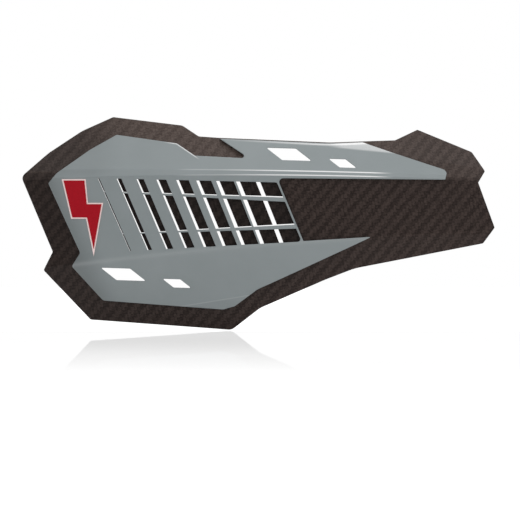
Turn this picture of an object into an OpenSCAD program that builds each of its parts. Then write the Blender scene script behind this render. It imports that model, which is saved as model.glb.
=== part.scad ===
// Wrap-round motorcycle hand guard: dark moulded shell, raised grey cover with a graded vent grille.
// Millimetres, +Z up, front towards -Y, long side along X. The origin is the middle of the bolt pattern.

/* [Overall] */
// Length over the two ends
shield_l = 270; // [240:1:300]
// Height from the lowest tip to the left crest
shield_h = 121.7; // [108:0.1:136]
// Radius of the wrap round the hand, seen from above
wrap_r = 300; // [260:5:400]
// Wall thickness of the dark shell
wall = 3; // [2.4:0.1:4]

/* [Folds] */
// Lean of the upper wing from upright
upper_slope = 36; // [28:1:44]
// Lean of the narrow bevel along the upper fold
bevel_slope = 19; // [12:1:26]
// Lean of the lower wing from upright
lower_slope = 27; // [20:1:36]
// Lean of the folded-back strip along the top right edge
fin_slope = 48; // [46:1:56]
// Lean of the folded-back strip along the lowest edge
keel_slope = 32; // [30:1:36]
// Height of the upper fold above the middle line, in percent of the whole height
upper_fold = 16.1; // [15.6:0.1:18]
// Height of the fold of the top right strip at the middle, in percent
fin_fold = 30.4; // [29:0.1:32]
// Depth of the lower fold under the middle line, in percent
lower_fold = 17.4; // [16.6:0.1:19]

/* [Cover] */
// Thickness of the grey cover
cover_t = 1.8; // [1.4:0.1:2.4]
// Clearance between cover and shell
seat_gap = 0.06; // [0.04:0.01:0.12]

/* [Vent grille] */
// Number of slanted columns
vent_cols = 9; // [7:1:11]
// Width of the first slot, a hairline
slit_w = 0.8; // [0.6:0.1:1]
// Width of the second slot
slot_w = 2.65; // [2:0.05:3.2]
// Narrowest grey bar between two columns
min_bar = 1.2; // [0.9:0.1:2]
// Width of the first upright air gap in the shell
gap_min = 0.2; // [0.15:0.05:0.4]
// Width of the last upright air gap
gap_max = 2.4; // [1.5:0.1:3.4]
// Width of the last air gap under the pads of the upper two rows
foot_gap = 0.55; // [0.4:0.05:0.8]

/* [Windows] */
// Length of a large window
window_l = 16.7; // [13:0.1:19]
// Height of a large window
window_h = 7; // [5.6:0.1:8]

/* [Mount] */
// Distance between the two bolts
bolt_pitch = 50; // [40:1:56]
// Outer radius of a boss
boss_r = 7; // [6:0.1:8]
// Outer radius of a brass insert
insert_r = 4; // [3.6:0.1:4.6]
// Bore radius of an insert, for an M6 thread
thread_r = 2.5; // [2:0.1:2.8]
// Length of an insert
insert_l = 8; // [6:0.5:9]
// Length of the shorter boss behind the shell
boss_min = 10; // [9.5:0.5:14]

/* [Cover fixings] */
// Radius of a fixing peg
peg_r = 1.7; // [1.3:0.1:2]
// Radius of the flattened peg head
peg_head_r = 3.2; // [2.6:0.1:4]
// Thickness of the flattened peg head
peg_head_t = 1.1; // [0.8:0.1:1.6]

/* [Badge] */
// Thickness of each badge film
film_t = 0.3; // [0.2:0.05:0.5]
// Width of the pale line round the red field
badge_line = 0.8; // [0.5:0.1:1.2]
// Layer of glue under each film
film_glue = 0.04; // [0.02:0.01:0.1]

/* [Hidden] */
$fn = 48;
wrap_fn = 256;

// Sizes of the drawn outlines are for a shield 270 long and 121.7 high
kx = shield_l / 270;
kz = shield_h / 121.7;
arc_n = 4;
// Further than any part of the shield reaches along Y
deep = shield_l / 3;

// Height of each fold, and where a steeper face must start on the band to meet the upper wing there
upper_z = shield_h * upper_fold / 100;
fin_z = shield_h * fin_fold / 100;
lower_z = shield_h * lower_fold / 100;
fin_start_z = fin_z - (fin_z - upper_z) * tan(upper_slope) / tan(fin_slope);
keel_start_z = 1.343 * lower_z;

// Leaning faces: height where each leaves the band, lean, tilt back at the ends, tilt along X, side
fold_up = [upper_z, upper_slope, 4.5, 0.5, 1];
fold_bevel = [upper_z - 0.9 * kz, bevel_slope, 6.2, 0.2, 1];
fold_fin = [fin_start_z, fin_slope, 0, 3.44, 1];
fold_low = [-lower_z, lower_slope, 6.5, -4.56, -1];
fold_keel = [-keel_start_z, keel_slope, 4.76, -5.92, -1];

// Depth of the front face at a distance x from the middle
function wrap_y(x) = wrap_r - sqrt(wrap_r * wrap_r - x * x);

mount_x = 70 * kx;
mount_y = wrap_y(mount_x + bolt_pitch / 2) + wall + boss_min;

// Corners of the outlines seen from the front: x, z, corner radius
BASE = [
    [-135.3, 18.3, 3.5], [-119.7, 31.9, 30], [-100.7, 44.5, 30], [-82.9, 52.5, 2],
    [-43.2, 47.5, 4], [-33.8, 41.2, 3], [-22.7, 40.4, 0], [41.0, 37.7, 60],
    [78.3, 39.1, 2], [91.2, 45.3, 1], [122.3, 32.5, 2], [129.7, 21.5, 1],
    [125.7, 14.9, 1], [135.2, -10.8, 1], [128.5, -19.8, 1.5], [54.8, -34.1, 40],
    [38.2, -40.5, 40], [1.2, -56.6, 13], [-15.0, -69.1, 5], [-95.6, -63.3, 2],
    [-122.4, -35.1, 1.2], [-117.1, -24.6, 1.2]
];
// The big opening of the cover on the right starts at this slanted side
notch_x = 18.1;
notch_lean = 0.416;
COVER = [
    [-119.7, 14.5, 1.5], [-114.9, 20.2, 8], [-95.5, 33.9, 30], [-80.7, 42.2, 2],
    [-46.3, 37.2, 3], [-35.9, 30.1, 1.5], [-4.9, 28.5, 1.2], [-22.0, 39.9, 0],
    [41.0, 37.2, 60], [59.4, 37.9, 0], [76.1, 32.1, 30], [106.3, 22.2, 1.8],
    [107.6, 20.4, 1], [106.7, 16.5, 0.6], [notch_x - 17.2 * notch_lean, 17.2, 2.2],
    [notch_x + 18.5 * notch_lean, -18.5, 0.5],
    [64.6, -16.1, 0.25], [55.5, -20.4, 8], [12.6, -40.2, 20], [-0.3, -46.0, 12],
    [-13.2, -55.6, 3], [-19.8, -57.5, 3], [-88.3, -52.4, 2.5], [-106.2, -32.9, 1.5],
    [-101.3, -25.2, 2]
];

// One rounded corner c between its neighbours a and b
function unit(v) = v / norm(v);
function corner(a, c, b, r) =
    let(u = unit(a - c), v = unit(b - c), half = acos(u * v) / 2)
    let(reach = min(norm(a - c), norm(b - c)) * 0.48)
    let(rr = min(r, reach * tan(half)), t = rr / tan(half))
    let(mid = c + unit(u + v) * (rr / sin(half)))
    let(p = c + u * t - mid, q = c + v * t - mid)
    let(sweep = 180 - 2 * half, turn = p[0] * q[1] - p[1] * q[0] > 0 ? 1 : -1)
    let(n = rr > 8 ? 2 * arc_n : arc_n)
    rr < 0.05 ? [c] : [for (i = [0:n])
        let(w = turn * sweep * i / n)
        mid + [p[0] * cos(w) - p[1] * sin(w), p[0] * sin(w) + p[1] * cos(w)]];

function flat(c) = [c[0] * kx, c[1] * kz];
function rounded(list) =
    let(n = len(list))
    [for (i = [0:n - 1]) each corner(
        flat(list[(i + n - 1) % n]), flat(list[i]), flat(list[(i + 1) % n]), list[i][2])];

// A prism through the guard, from a flat shape seen from the front
module from_front() {
    translate([0, deep, 0])
        rotate([90, 0, 0])
            linear_extrude(height = 1.2 * deep)
                children();
}

// One leaning face as a solid cone behind it, its face moved out by off
module leaning(fold, off) {
    low = fold[4] > 0 ? -2.1 * deep : -1.2 * deep;
    high = fold[4] > 0 ? 1.2 * deep : 2.1 * deep;
    grow = fold[4] * tan(fold[1]);
    reach = wrap_r + off / cos(fold[1]);
    translate([0, 0, fold[0]])
        rotate([-fold[2], fold[3], 0])
            translate([0, wrap_r, low])
                rotate([0, 0, 90])
                    cylinder(
                        h = high - low, r1 = reach - low * grow, r2 = reach - high * grow, $fn = wrap_fn);
}

// Everything behind the folded front face, moved out by off
module behind(off) {
    intersection() {
        translate([-0.6 * shield_l, -0.03 * shield_l, -0.7 * shield_h])
            cube([1.2 * shield_l, deep, 1.4 * shield_h]);
        translate([0, wrap_r, -shield_h])
            rotate([0, 0, 90])
                cylinder(h = 2 * shield_h, r = wrap_r + off, $fn = wrap_fn);
        leaning(fold_up, off);
        leaning(fold_bevel, off);
        leaning(fold_fin, off);
        leaning(fold_low, off);
        leaning(fold_keel, off);
    }
}

// A folded sheet with the flat shape given as child
module sheet(outer, inner) {
    intersection() {
        difference() {
            behind(outer);
            behind(inner);
        }
        from_front()
            children();
    }
}

// Places a child on a leaning face: y = 0 is the front of the shell, +Y goes in
module on_fold(fold, turn, h) {
    translate([0, 0, fold[0]])
        rotate([-fold[2], fold[3], 0])
            translate([0, wrap_r, 0])
                rotate([0, 0, turn])
                    translate([0, fold[4] * h * tan(fold[1]) - wrap_r, h])
                        rotate([-fold[4] * fold[1], 0, 0])
                            children();
}

// The band between the folds is a plain cylinder
module on_band(turn, h) {
    translate([0, wrap_r, 0])
        rotate([0, 0, turn])
            translate([0, -wrap_r, h])
                children();
}

module at_pegs() {
    on_fold(fold_up, -19.5 * kx, 10 * kz) children();
    on_fold(fold_up, -10 * kx, 9 * kz) children();
    on_fold(fold_up, 16 * kx, 6 * kz) children();
    on_band(-20 * kx, 0) children();
    on_fold(fold_low, -18.6 * kx, -14 * kz) children();
    on_fold(fold_low, -1.5 * kx, -12 * kz) children();
}

module rod(r, y0, y1) {
    translate([0, y0, 0])
        rotate([-90, 0, 0])
            cylinder(h = y1 - y0, r = r);
}

// Vent grille. The last two columns share one slot, so they need one bar less.
// Left side of column i at height z, as it leans; the hairline sits a little to the right
vent_x0 = -84.2 * kx;
vent_x1 = notch_x * kx - 2 * min_bar;
vent_pitch = (vent_x1 - vent_x0) / vent_cols;
function lean(i) = 0.441 - 0.066 * i / vent_cols;
function col_x(i, z) = vent_x0 + vent_pitch * i - lean(i) * kx / kz * z + (i == 0 ? 0.7 * slit_w : 0);
function col_w(i) = i == 0 ? slit_w : slot_w + (i - 1) * (vent_pitch - min_bar - slot_w) / (vent_cols - 4);
function gap_w(i) = gap_min + (gap_max - gap_min) * pow(i / (vent_cols - 1), 0.9);
function foot_w(i) = foot_gap * (0.3 + 0.7 * i / (vent_cols - 1));
function end_x(z) = notch_x * kx - notch_lean * kx / kz * z - min_bar;

// Upper and lower side of each row: height at the middle, rise per millimetre
ROWS = [
    [[15.05, -0.025], [6.75, -0.0335]],
    [[4.57, -0.0548], [-10.25, 0.0525]],
    [[-12.15, 0.032], [-20.15, 0.054]]
];
function row_z(j, k, x) = (ROWS[j][k][0] + ROWS[j][k][1] * x / kx) * kz;
function cell_point(i, j, k, dx) =
    let(x = col_x(i, ROWS[j][k][0] * kz) + dx, z = row_z(j, k, x))
    [col_x(i, z) + dx, z];

// Right side of a column; the last one ends at a bar along the big opening
function right_point(i, j, k) = i < vent_cols - 1 ? cell_point(i, j, k, col_w(i)) :
    let(z = row_z(j, k, end_x(ROWS[j][k][0] * kz))) [end_x(z), z];

// The last two columns share one slot in the cover
function slot(i, j) =
    let(last = i == vent_cols - 2, n = last ? i + 1 : i)
    let(a = cell_point(i, j, 0, 0), b = right_point(n, j, 0))
    let(c = right_point(n, j, 1), d = cell_point(i, j, 1, 0))
    concat([a], corner(a, b, c, last && j == 0 ? 1.5 : 0),
        corner(b, c, d, last && j == 2 ? 1.5 : 0), [d]);

// Air gap in the shell: an upright strip, with a foot under the pads of the upper two rows.
// The gaps of the last two columns run together through that foot
function strip_top(i, j) = [cell_point(i, j, 0, 0), cell_point(i, j, 0, gap_w(i))];
function foot_end(i, j) =
    let(end = right_point(i, j, 1), up = [0, foot_w(i)])
    [cell_point(i, j, 1, gap_w(i)) + up, end + up, end];
function air_gap(i, j) =
    let(d = cell_point(i, j, 1, 0), up = [0, foot_w(i + 1)])
    j == 2 ? concat(strip_top(i, j), [cell_point(i, j, 1, gap_w(i)), d]) :
    i < vent_cols - 2 ? concat(strip_top(i, j), foot_end(i, j), [d]) :
    concat(strip_top(i, j), [foot_end(i, j)[0], cell_point(i + 1, j, 1, 0) + up],
        strip_top(i + 1, j), foot_end(i + 1, j), [d]);

module vent_slots() {
    for (i = [0:vent_cols - 2]) {
        for (j = [0:2]) {
            polygon(slot(i, j));
        }
    }
}

module air_gaps() {
    for (j = [0:2]) {
        for (i = [0:vent_cols - (j < 2 ? 2 : 1)]) {
            polygon(air_gap(i, j));
        }
    }
}

// Windows through both shells: left upper corner, length and height against the large one
WINDOWS = [[4.8, 34.6, 1, 1], [40.2, 28.3, 0.575, 0.7], [-89.5, -33.7, 1, 1], [-54.3, -40.0, 0.6, 0.7]];
function window_points(w, more) =
    let(l = window_l * w[2], h = window_h * w[3], drop = 0.03 * l, s = 1.27 * h)
    let(x = w[0] * kx, z = w[1] * kz, m = more)
    let(p = [[x - 2.3 * m, z + m], [x + l + 0.5 * m, z - drop + m],
        [x + l + s + 2.3 * m, z - h - drop - m], [x + s - 0.5 * m, z - h - m]])
    let(r = [0.3, 1.5, 0.3, 1.5])
    [for (i = [0:3]) each corner(p[(i + 3) % 4], p[i], p[(i + 1) % 4], r[i])];

module windows(more) {
    for (w = WINDOWS) {
        polygon(window_points(w, more));
    }
}

module at_bolts() {
    for (side = [-1, 1]) {
        translate([mount_x + side * bolt_pitch / 2, mount_y, 0])
            children();
    }
}

module seat() {
    translate([-mount_x, -mount_y, 0])
        children();
}

module bosses() {
    // Cut off at the front by the shell, and the rib between them is set back by one wall
    reach = 0.7 * deep;
    intersection() {
        behind(-wall / 2);
        union() {
            at_bolts()
                rod(boss_r, -reach, 0);
            translate([mount_x - bolt_pitch / 2, mount_y - wall - reach, -wall / 2])
                cube([bolt_pitch, reach, wall]);
        }
    }
}

module base_shell() {
    color([0.16, 0.13, 0.12])
        seat()
            difference() {
                union() {
                    sheet(0, -wall) {
                        difference() {
                            polygon(rounded(BASE));
                            air_gaps();
                            windows(0.4);
                        }
                    }
                    bosses();
                }
                at_bolts()
                    rod(insert_r + 0.05, -insert_l - 0.5, 1);
                at_pegs()
                    rod(peg_r + 0.1, -2, wall + 2);
            }
}

module cover_shell() {
    color([0.56, 0.59, 0.6])
        seat()
            union() {
                sheet(seat_gap + cover_t, seat_gap) {
                    difference() {
                        polygon(rounded(COVER));
                        vent_slots();
                        windows(0);
                    }
                }
                at_pegs() {
                    rod(peg_r, -seat_gap - cover_t / 2, wall + 0.1 + peg_head_t / 2);
                    rod(peg_head_r, wall + 0.1, wall + 0.1 + peg_head_t);
                }
            }
}

// Badge: a plain flash, sheared to lie along the columns
FLASH = [[-104, 16], [-92, 16], [-96.5, 2.5], [-88, 2.5], [-103.5, -23], [-99.5, -5], [-108, -5]];
function sheared(p) = [(p[0] - 0.43 * p[1]) * kx, p[1] * kz];
// Each side of a clockwise outline moved out by d
function widened(list, d) =
    let(n = len(list))
    [for (i = [0:n - 1])
        let(a = list[(i + n - 1) % n], c = list[i], b = list[(i + 1) % n])
        let(u = unit(c - a), v = unit(b - c))
        let(nu = [-u[1], u[0]], nv = [-v[1], v[0]])
        c + (nu + nv) * d / (1 + nu * nv)];
FLASH_FLAT = [for (p = FLASH) sheared(p)];

module badge_backing() {
    top = seat_gap + cover_t;
    color([0.96, 0.9, 0.89])
        seat()
            sheet(top + film_glue + film_t, top + film_glue)
                polygon(widened(FLASH_FLAT, badge_line));
}

module badge_field() {
    top = seat_gap + cover_t + film_t + film_glue;
    color([0.75, 0.06, 0.09])
        seat()
            sheet(top + film_glue + film_t, top + film_glue)
                polygon(FLASH_FLAT);
}

module threaded_insert(side) {
    color([0.78, 0.62, 0.3])
        translate([side * bolt_pitch / 2, 0, 0])
            difference() {
                rod(insert_r, -insert_l, 0);
                rod(thread_r, -insert_l - 1, 1);
            }
}

module insert_inner() {
    threaded_insert(1);
}

module insert_outer() {
    threaded_insert(-1);
}

base_shell();
cover_shell();
badge_backing();
badge_field();
insert_inner();
insert_outer();
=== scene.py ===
"""Motorcycle hand guard shield, dressed for the studio.

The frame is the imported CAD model: metres, X along the shield, the front face
towards -Y, Z up, the origin between the two threaded inserts on the boss faces.
"""
import math

import bmesh
import bpy
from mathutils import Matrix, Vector


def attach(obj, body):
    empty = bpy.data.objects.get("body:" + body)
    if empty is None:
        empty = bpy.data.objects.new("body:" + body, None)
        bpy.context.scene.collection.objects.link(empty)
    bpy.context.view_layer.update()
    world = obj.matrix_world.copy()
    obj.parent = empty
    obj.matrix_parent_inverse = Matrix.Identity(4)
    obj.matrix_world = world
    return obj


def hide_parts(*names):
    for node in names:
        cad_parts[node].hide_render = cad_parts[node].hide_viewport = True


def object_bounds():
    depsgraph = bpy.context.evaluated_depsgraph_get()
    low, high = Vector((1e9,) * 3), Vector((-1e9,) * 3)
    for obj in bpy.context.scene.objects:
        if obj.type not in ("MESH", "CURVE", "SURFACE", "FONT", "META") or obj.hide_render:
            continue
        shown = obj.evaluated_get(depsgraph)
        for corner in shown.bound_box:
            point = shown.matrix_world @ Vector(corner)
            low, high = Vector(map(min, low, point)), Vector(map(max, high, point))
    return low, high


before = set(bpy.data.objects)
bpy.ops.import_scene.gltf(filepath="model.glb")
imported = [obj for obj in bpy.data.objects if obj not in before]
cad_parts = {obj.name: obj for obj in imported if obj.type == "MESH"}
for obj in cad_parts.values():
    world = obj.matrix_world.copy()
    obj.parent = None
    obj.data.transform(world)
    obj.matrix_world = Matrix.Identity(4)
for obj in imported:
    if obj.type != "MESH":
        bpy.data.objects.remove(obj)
cad_low, cad_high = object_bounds()


# --- Shell -----------------------------------------------------------------
# The dark shell is one injection moulding about 3 mm thick. Its mould is
# etched with a fine twill that rises to the right, satin where it catches the
# light, and its edges are broken by a small radius. Its colour carries a painted
# sheen on the faces that look up, painted highlights on its folds, and painted
# shade at its outer end, its edges and the pads behind the grille.

class Link:
    """A shader socket. Sums and products with it add Math nodes."""

    def __init__(self, tree, socket=None):
        self.tree = tree
        self.socket = socket

    def add(self, kind, settings=None, inputs=None, output=0):
        """Adds a node of the given type and returns one of its outputs."""
        node = self.tree.nodes.new(kind)
        for key, value in (settings or {}).items():
            setattr(node, key, value)
        for key, value in (inputs or {}).items():
            if isinstance(value, Link):
                self.tree.links.new(value.socket, node.inputs[key])
            else:
                node.inputs[key].default_value = value
        return Link(self.tree, node.outputs[output])

    def math(self, operation, *values):
        return self.add("ShaderNodeMath", {"operation": operation},
                        dict(enumerate((self, *values))))

    def __add__(self, other):
        return self.math("ADD", other)

    __radd__ = __add__

    def __sub__(self, other):
        return self.math("SUBTRACT", other)

    def __rsub__(self, other):
        return self.add("ShaderNodeMath", {"operation": "SUBTRACT"}, {0: other, 1: self})

    def __mul__(self, other):
        return self.math("MULTIPLY", other)

    __rmul__ = __mul__

    def __truediv__(self, other):
        return self.math("DIVIDE", other)

    def parts(self):
        """The X, Y and Z of a vector."""
        split = self.add("ShaderNodeSeparateXYZ", inputs={0: self})
        return [Link(self.tree, out) for out in split.socket.node.outputs]

    def mix(self, first, second):
        """A colour between two, by this value."""
        return self.add("ShaderNodeMix", {"data_type": "RGBA"},
                        {0: self, 6: first, 7: second}, output=2)

    def between(self, low, high):
        """0 below low, 1 above high and smooth between them."""
        return self.add("ShaderNodeMapRange", {"interpolation_type": "SMOOTHSTEP"},
                        {"Value": self, "From Min": low, "From Max": high})

    def until(self, low, high):
        """1 below low, 0 above high and smooth between them."""
        return 1 - self.between(low, high)

    def noise(self, per_metre, detail):
        """Soft patches over this place, about 0.5 on average."""
        return self.add("ShaderNodeTexNoise",
                        inputs={"Vector": self, "Scale": per_metre, "Detail": detail})

    def bump(self, strength, depth, **normal):
        """The normal of a surface that this height stands out of."""
        return self.add("ShaderNodeBump", inputs={
            "Strength": strength, "Distance": depth, "Height": self, **normal})


def srgb(red, green, blue):
    """A colour seen on screen, 0 to 255, as linear light."""
    def linear(value):
        value /= 255
        return value / 12.92 if value < 0.04045 else ((value + 0.055) / 1.055) ** 2.4
    return (linear(red), linear(green), linear(blue), 1.0)


def new_material(name, **numbers):
    """A Principled material. Returns it, its graph, its shader and its Object coordinates."""
    material = bpy.data.materials.new(name)
    material.use_nodes = True
    graph = Link(material.node_tree)
    shader = material.node_tree.nodes["Principled BSDF"]
    for key, value in numbers.items():
        shader.inputs[key.replace("_", " ")].default_value = value
    return material, graph, shader, graph.add("ShaderNodeTexCoord", output="Object")


def feed(shader, **links):
    for key, value in links.items():
        shader.id_data.links.new(value.socket, shader.inputs[key.replace("_", " ")])


def broken_edges(graph):
    """The normal with every edge rounded by 0.8 mm. The mesh stays sharp."""
    return graph.add("ShaderNodeBevel", {"samples": 6}, {"Radius": 0.0008})


# One tow of the twill, and how deep it is etched
TOW_WIDE, TOW_HIGH = 0.00176, 0.0020
TWILL_DEPTH = 0.0001

shell_material, graph, shader, place = new_material("shell_twill_plastic",
                                                    Specular_IOR_Level=0.14)
x, _, z = place.parts()
across, up = x / TOW_WIDE, z / TOW_HIGH
step = (across.math("FLOOR") - up.math("FLOOR")) / 4
warp_on_top = step.math("FRACT").math("LESS_THAN", 0.5)
warp_round = (across.math("FRACT") * math.pi).math("SINE")
weft_round = (up.math("FRACT") * math.pi).math("SINE")
height = warp_on_top * warp_round + (1 - warp_on_top) * weft_round
heather = place.noise(1100.0, 3.0)
cloud = place.noise(180.0, 2.0)
tone = 0.08 + warp_on_top * 0.47 + height * 0.2 + (heather - 0.5) * 2.2 + (cloud - 0.5) * 0.5
# The paler twill that the painted sheen and the painted highlights mix in
painted_sheen_tone = 0.25 + tone * 0.5 + (heather - 0.5) * 0.9
twill = tone.mix(srgb(36, 27, 24), srgb(66, 55, 51))
painted_sheen_twill = painted_sheen_tone.mix(srgb(76, 63, 57), srgb(112, 99, 93))

# Painted sheen: the faces that look up are painted paler, as if lit from above, less so at the
# two ends
facing = graph.add("ShaderNodeNewGeometry", output="Normal")
_, to_back, to_top = facing.parts()
less_outside = 0.4 + x.between(-0.175, -0.145) * 0.6
less_inside = 1 - x.between(-0.02, 0.03) * 0.6
painted_sheen = to_top.between(0.25, 0.65) * 0.55 * less_outside * less_inside

# Painted highlights: both folds are painted pale where the cover leaves them free
HAIRLINE = 0.00028


def thin_line(off, half_width=HAIRLINE):
    """1 where off is 0, fading to both sides."""
    off = off / half_width
    return (off * off * -1).math("EXPONENT")


upper_fold = z - 0.0208
lower_fold = z + 0.0161 - x * 0.0517
fold_highlights = thin_line(upper_fold, 0.0006) * x.until(-0.187, -0.183) * 0.35
fold_highlights = fold_highlights + thin_line(lower_fold, 0.0005) * x.between(-0.012, 0.002) * 0.1

# Painted shade: the outer end is darker than the rest, and so are the edges and, in front,
# the pads behind the grille, which lie in shade. A slanted line bounds the grille at the
# right.
rounded = broken_edges(graph)
edge = 1 - graph.add("ShaderNodeVectorMath", {"operation": "DOT_PRODUCT"},
                     {0: rounded, 1: facing}, output="Value")
past_grille = x + z * 0.353 + 0.0518
pads = past_grille.until(-0.0006, 0.0006) * x.between(-0.168, -0.167)
pads = pads * z.between(-0.023, -0.022) * z.until(0.02, 0.021)
pads = pads * to_back.until(-0.6, -0.3)
shade = 0.66 + x.between(-0.2, -0.13) * 0.3 + x.between(-0.03, 0.06) * 0.18
shade = shade * (1 - edge.between(0.0, 0.12) * 0.55) * (1 - pads * 0.5)

BLACK = (0, 0, 0, 1)
# The twill under its painted sheen, painted highlights and painted shade
feed(shader,
     Base_Color=shade.mix(BLACK, (painted_sheen + fold_highlights).mix(twill, painted_sheen_twill)),
     Roughness=0.5 - tone * 0.14,
     Normal=(height + heather * 0.4).bump(0.3, TWILL_DEPTH, Normal=rounded))
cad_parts["base_shell"].material_slots[0].material = shell_material


# --- Cover -----------------------------------------------------------------
# The grey cover is a second moulding, smooth and semi-gloss, pegged on from the
# front. Its folds and its top edge carry painted highlights and a painted glint,
# and its grey is painted darker at the outer end as painted shade.

GRAIN_DEPTH = 0.0001

cover_material, graph, shader, place = new_material("cover_grey_plastic",
                                                    Specular_IOR_Level=0.5)
x, _, z = place.parts()
grain = place.noise(2500.0, 4.0)
cloud = place.noise(60.0, 2.0)

# How far a place is to the right of the outer side, and of the slanted corner under it
from_side = x + 0.1897 + (z - 0.0145) * 0.463
from_corner = x + 0.1762 + (z + 0.0329) * 0.918
# Painted shade: the grey darkens towards the outer end, and a little on the upper wing at its
# far end
outer_end_shade = from_side.math("MINIMUM", from_corner).until(-0.007, 0.015)
on_top = z.between(0.016, 0.021)
outer_end_shade = outer_end_shade * (1 - on_top) * 0.7 + x.until(-0.17, -0.145) * on_top * 0.2


def fold_line(height, rise, sag, half_width=HAIRLINE):
    """A line where two faces of the cover meet."""
    return thin_line(z - (height + x * rise + x * x * sag), half_width)


# Painted highlights on the two sides of the bevel under the upper wing, brightest to the right
# of the grille
bevel_lines = fold_line(0.02023, -0.0274, -0.0872) + fold_line(0.01806, -0.0268, -0.1669)
bevel_highlight_reach = x.between(-0.12, -0.105) * (0.22 + x.between(-0.1, -0.045) * 0.88)
painted_highlights = bevel_lines * (bevel_highlight_reach * x.until(-0.006, 0.008))

# Painted highlights along the fold of the lowest strip, and a broad soft one along the fold
# under the grille
keel_line = fold_line(-0.03656, 0.1761, 0.0702)
lower_line = fold_line(-0.0163, 0.05, -0.2246, 0.0013)
painted_highlights = painted_highlights + keel_line * 0.1
painted_highlights = painted_highlights + lower_line * (0.08 - x.between(-0.17, -0.14) * 0.03)

# A painted highlight line along the top edge, which is lowest at x = -0.029 and rises to both
# sides
from_lowest = x + 0.029
top_edge = 0.0372 + (from_lowest * from_lowest + 0.000036).math("SQRT") * 0.053
painted_highlights = painted_highlights + thin_line(top_edge - z - 0.0011, 0.00045) * x.between(-0.1, -0.02) * 0.8

# A painted highlight along the rim round the corner where the high part of the top edge ends
corner_x, corner_z = x + 0.1163, z - 0.0372
corner_rim = (corner_x * 0.564 + corner_z * 0.826).math("MAXIMUM", corner_z + corner_x * 0.145)
corner_line = thin_line(corner_rim + 0.0003) * x.between(-0.125, -0.117)
painted_highlights = painted_highlights + corner_line * x.until(-0.107, -0.103) * 0.7

# A painted glint in a patch at the right end of the top edge
above_foot = z - 0.0345 + (x + 0.0262) * 0.094
painted_highlights = painted_highlights + x.between(-0.032, -0.02) * above_foot.between(-0.0003, 0.001) * 0.45

grey = cloud.mix(srgb(130, 138, 139), srgb(138, 145, 147))
# Painted shade at the outer end
grey = outer_end_shade.mix(grey, srgb(94, 100, 101))
# The grey, whitened by its painted highlights and painted glint
feed(shader,
     Base_Color=painted_highlights.math("MINIMUM", 1.0).mix(grey, srgb(246, 246, 246)),
     Roughness=0.27 + grain * 0.08,
     Normal=grain.bump(0.05, GRAIN_DEPTH, Normal=broken_edges(graph)))
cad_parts["cover_shell"].material_slots[0].material = cover_material


# --- Badge -----------------------------------------------------------------
# A pale film and a red one over it, cut as a plain flash and stuck to the
# outer end of the cover. Both are printed and sealed with a clear gloss.

INKS = {"badge_backing": (srgb(240, 214, 212), srgb(247, 226, 223)),
        "badge_field": (srgb(150, 8, 24), srgb(176, 16, 34))}
INK_DEPTH = 0.0001

for node, (thin_ink, full_ink) in INKS.items():
    material, graph, shader, place = new_material(node + "_film", Specular_IOR_Level=0.12)
    ink = place.noise(1500.0, 3.0)
    feed(shader,
         Base_Color=ink.mix(thin_ink, full_ink),
         Roughness=0.28 + ink * 0.12,
         Normal=ink.bump(0.04, INK_DEPTH))
    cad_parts[node].material_slots[0].material = material


# --- Inserts ---------------------------------------------------------------
# Two turned brass inserts with an M6 thread, 8 mm long, pressed into the
# bosses behind the shield until they are flush with the boss faces.

FROM_MIDDLE = 0.025
OUTER, ROOT, CREST = 0.0040, 0.0030, 0.00252
LENGTH, PITCH, SEGMENTS = 0.008, 0.001, 40
# The turning marks, in radians for a metre outwards and for a metre along the bore
FACE_MARKS, SIDE_MARKS, MARK_DEPTH = 42000.0, 30000.0, 0.00003

brass_material, graph, shader, place = new_material("insert_brass", Metallic=1.0)
x, y, z = place.parts()
from_bore = x.math("ABSOLUTE") - FROM_MIDDLE
radius = (from_bore * from_bore + z * z).math("SQRT")
turned = (radius * FACE_MARKS + y * SIDE_MARKS).math("SINE")
tarnish = place.noise(320.0, 4.0)
# The bore is darker the deeper it goes
in_bore = radius.until(ROOT, ROOT + 0.0001) * y.until(-0.005, 0.0003) * 0.85
brass = tarnish.mix(srgb(186, 146, 78), srgb(222, 186, 116))
feed(shader,
     Base_Color=in_bore.mix(brass, srgb(46, 34, 20)),
     Roughness=0.2 + tarnish * 0.22,
     Normal=turned.bump(0.15, MARK_DEPTH))

# The sleeve, by radius and depth: chamfered mouths, broken edges, and a groove outside
MOUTH, BREAK, GROOVE = 0.0005, 0.0002, 0.0004
SLEEVE = [
    (ROOT, -LENGTH + MOUTH), (ROOT, -MOUTH), (ROOT + MOUTH, 0.0),
    (OUTER - BREAK, 0.0), (OUTER, -BREAK),
    (OUTER, -0.0032), (OUTER - GROOVE, -0.0036), (OUTER - GROOVE, -0.0046), (OUTER, -0.005),
    (OUTER, -LENGTH + BREAK), (OUTER - BREAK, -LENGTH), (ROOT + MOUTH, -LENGTH)]

# The thread: one ridge with its foot sunk in the sleeve, wound along the bore
TURNS = 6
FIRST_TURN = -LENGTH + PITCH
RIDGE_FOOT, RIDGE_TOP, SUNK = 0.00044, 0.00007, 0.0001
RIDGE = [
    (ROOT + SUNK, FIRST_TURN - RIDGE_FOOT), (CREST, FIRST_TURN - RIDGE_TOP),
    (CREST, FIRST_TURN + RIDGE_TOP), (ROOT + SUNK, FIRST_TURN + RIDGE_FOOT)]


def turn_on_lathe(bm, centre, outline, **spin):
    """Spins a closed outline round the bore's axis."""
    ring = [bm.verts.new(centre + Vector((r, depth, 0.0))) for r, depth in outline]
    edges = [bm.edges.new((a, b)) for a, b in zip(ring, ring[1:] + ring[:1])]
    bmesh.ops.spin(bm, geom=ring + edges, cent=centre, axis=(0, 1, 0), **spin)


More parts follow.
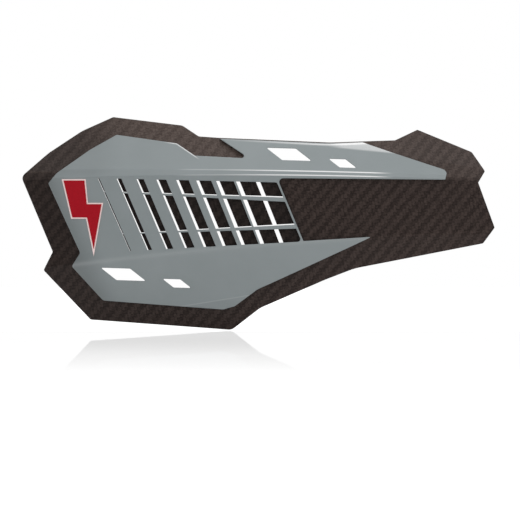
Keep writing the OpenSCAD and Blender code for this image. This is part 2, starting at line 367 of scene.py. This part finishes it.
for node, side in (("insert_inner", 1), ("insert_outer", -1)):
    centre = Vector((side * FROM_MIDDLE, 0.0, 0.0))
    bm = bmesh.new()
    turn_on_lathe(bm, centre, SLEEVE, angle=math.tau, steps=SEGMENTS, use_merge=True)
    turn_on_lathe(bm, centre, RIDGE, angle=math.tau * TURNS, steps=SEGMENTS * TURNS,
                  dvec=(0, PITCH / SEGMENTS, 0))
    bmesh.ops.holes_fill(bm, edges=[edge for edge in bm.edges if edge.is_boundary], sides=4)
    bmesh.ops.remove_doubles(bm, verts=bm.verts, dist=1e-7)
    bmesh.ops.recalc_face_normals(bm, faces=bm.faces)
    mesh = bpy.data.meshes.new(node + "_thread")
    bm.to_mesh(mesh)
    bm.free()
    mesh.shade_smooth()
    mesh.set_sharp_from_angle(angle=math.radians(28))
    mesh.materials.append(brass_material)
    insert = bpy.data.objects.new(node + "_thread", mesh)
    bpy.context.collection.objects.link(insert)
    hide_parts(node)
    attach(insert, "root")


# --- Studio ----------------------------------------------------------------
# A white floor that mirrors the shield faintly, a white surround, soft light
# from above, and a camera far off in front with a long lens, as in the photograph.

# The middle of the picture and the metres that one pixel shows there
MIDDLE = Vector((-0.06887, 0.0, -0.02927))
PIXELS, PIXEL = 520, 0.0005709
DISTANCE, SENSOR = 6.0, 36.0

camera_data = bpy.data.cameras.new("camera")
camera_data.sensor_width = SENSOR
camera_data.lens = SENSOR * DISTANCE / (PIXELS * PIXEL)
camera_data.clip_end = 50.0
camera = bpy.data.objects.new("camera", camera_data)
camera.location = (MIDDLE.x, -DISTANCE, MIDDLE.z)
camera.rotation_euler = (math.radians(90), 0, 0)
bpy.context.collection.objects.link(camera)
bpy.context.scene.camera = camera


def background_rays(graph):
    """1 for the camera's rays, for gloss and for glass, which show the background."""
    path = graph.add("ShaderNodeLightPath").socket.node
    return [Link(graph.tree, path.outputs[name]) for name in
            ("Is Camera Ray", "Is Glossy Ray", "Is Transmission Ray")]


# The floor lies just under the shield's lowest point
WHITE = (1, 1, 1, 1)
HALF_FLOOR, UNDER_SHIELD = 9.0, 0.0004

floor_mesh = bpy.data.meshes.new("floor")
bm = bmesh.new()
bmesh.ops.create_grid(bm, x_segments=1, y_segments=1, size=HALF_FLOOR)
bmesh.ops.translate(bm, verts=bm.verts, vec=(0, 0, cad_low.z - UNDER_SHIELD))
bm.to_mesh(floor_mesh)
bm.free()
floor = bpy.data.objects.new("floor", floor_mesh)
bpy.context.collection.objects.link(floor)

# It glows for the background's rays alone, so that it shows as white as the surround: most
# under and behind the shield, least just in front of it, and more again far in front.
# Its mirror fades far off.
floor_material, graph, shader, place = new_material(
    "floor_white", Roughness=0.9, Specular_IOR_Level=0.0,
    Base_Color=(0.92, 0.92, 0.92, 1), Emission_Strength=1.0)
to_camera, to_gloss, to_glass = background_rays(graph)
shown = to_camera.math("MAXIMUM", to_gloss).math("MAXIMUM", to_glass)
in_front = place.parts()[1] * -1
glow = 0.11 + in_front.between(0.5, 1.6) * 0.125 + in_front.between(1.8, 3.5) * 0.2
glow = glow + in_front.until(0.03, 0.16) * 0.4
feed(shader, Emission_Color=(shown * glow).mix(BLACK, WHITE))
mirror = graph.add("ShaderNodeBsdfAnisotropic", inputs={"Color": WHITE, "Roughness": 0.0})
mirrored = in_front.math("ABSOLUTE").until(0.7, 2.5) * 0.27
both = graph.add("ShaderNodeMixShader", inputs={
    0: mirrored, 1: Link(graph.tree, shader.outputs[0]), 2: mirror})
graph.tree.links.new(both.socket, graph.tree.nodes["Material Output"].inputs["Surface"])
floor_mesh.materials.append(floor_material)

# The surround is white to the camera and through glass. It lights the shield a little more
# from the right and from below. Its side behind the camera is dark to gloss, which so sees
# white above and behind the shield.
world = bpy.data.worlds.new("studio")
bpy.context.scene.world = world
world.use_nodes = True
graph = Link(world.node_tree)
to_camera, to_gloss, to_glass = background_rays(graph)
x, y, z = graph.add("ShaderNodeTexCoord", output="Generated").parts()
lit = z.between(0.15, 0.95).math("MAXIMUM", y.between(-0.2, 0.3)) * 0.9 + 0.1
fill = 0.97 + x * 0.34 - z * 0.22
strength = fill + to_gloss * (lit - fill) + to_camera.math("MAXIMUM", to_glass) * (1 - fill)
background = world.node_tree.nodes["Background"]
world.node_tree.links.new(strength.socket, background.inputs["Strength"])
background.inputs["Color"].default_value = WHITE


def area_light(name, offset, size, watts):
    """A soft box, this far off the middle of the picture and turned to it."""
    light_data = bpy.data.lights.new(name, "AREA")
    light_data.shape = "RECTANGLE"
    light_data.size, light_data.size_y = size
    light_data.energy = watts
    light = bpy.data.objects.new(name, light_data)
    light.location = MIDDLE + Vector(offset)
    light.rotation_euler = (-Vector(offset)).to_track_quat("-Z", "Y").to_euler()
    bpy.context.collection.objects.link(light)


area_light("key", (0.1, -0.75, 1.0), (1.3, 0.5), 1.6)
area_light("overhead", (0.0, 0.13, 1.0), (0.24, 0.2), 1.0)

bpy.context.scene.view_settings.view_transform = "Standard"
